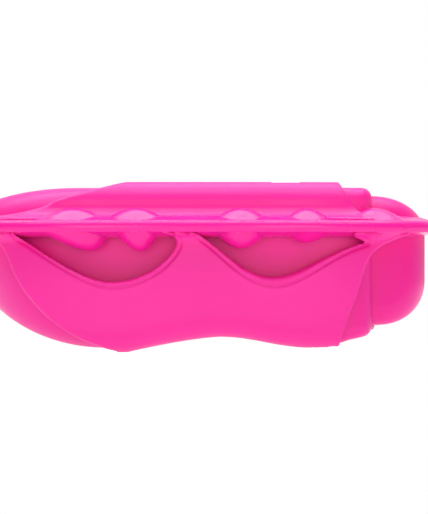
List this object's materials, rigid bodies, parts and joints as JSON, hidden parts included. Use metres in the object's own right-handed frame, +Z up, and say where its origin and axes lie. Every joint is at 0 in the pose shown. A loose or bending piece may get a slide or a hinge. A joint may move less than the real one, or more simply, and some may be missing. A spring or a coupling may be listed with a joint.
{
  "type": "contoured silicone body cupping cup",
  "caption": "Oval squeeze cup of soft silicone with a thin rim all round, finger pockets under it, soft nodules, a thumb pad and a push-button release valve.",
  "frame": {"origin": "under the middle of the cup, on the plane of its lowest foot lands", "axes": "+X towards the stepped tail, -Y towards the viewer's side, +Z up from the mouth to the thumb pad"},
  "size_m": [0.126, 0.08, 0.0424],
  "materials": {
    "silicone_body": "satin moulded silicone, hot pink",
    "silicone_rim": "satin moulded silicone, hot pink",
    "silicone_inner": "satin moulded silicone, deeper pink",
    "valve_steel": "drawn stainless wire"
  },
  "bodies": {
    "cup": {"inner_cup": "silicone_inner", "mouth_lip": "silicone_inner", "body_shell_lower": "silicone_body", "body_shell_upper": "silicone_body", "front_saddle": "silicone_body", "rear_saddle": "silicone_body", "top_cover": "silicone_body", "rim_web": "silicone_rim", "rim_hoop": "silicone_rim", "nodule_front_1": "silicone_rim", "nodule_front_2": "silicone_rim", "nodule_front_3": "silicone_rim", "nodule_front_4": "silicone_rim", "nodule_front_5": "silicone_rim", "nodule_rear_1": "silicone_rim", "nodule_rear_2": "silicone_rim", "nodule_rear_3": "silicone_rim", "nodule_rear_4": "silicone_rim", "nodule_rear_5": "silicone_rim", "pad_diaphragm": "silicone_inner", "valve_seat": "silicone_inner", "valve_spring": "valve_steel"},
    "pad": {"thumb_pad": "silicone_body"},
    "valve": {"valve_button": "silicone_body", "valve_stem": "valve_steel", "valve_flap": "silicone_inner"}
  },
  "joints": [
    {"name": "pad_squeeze", "type": "slide", "parent": "cup", "child": "pad", "axis": [0, 0, 1], "range_m": [-0.005, 0], "stiffness_N_per_m": 900, "springref_m": 0.001, "deforming": ["pad_diaphragm"]},
    {"name": "valve_press", "type": "slide", "parent": "cup", "child": "valve", "axis": [0, 0, 1], "range_m": [-0.0015, 0], "stiffness_N_per_m": 400, "springref_m": 0.001, "deforming": ["valve_spring"]}
  ]
}
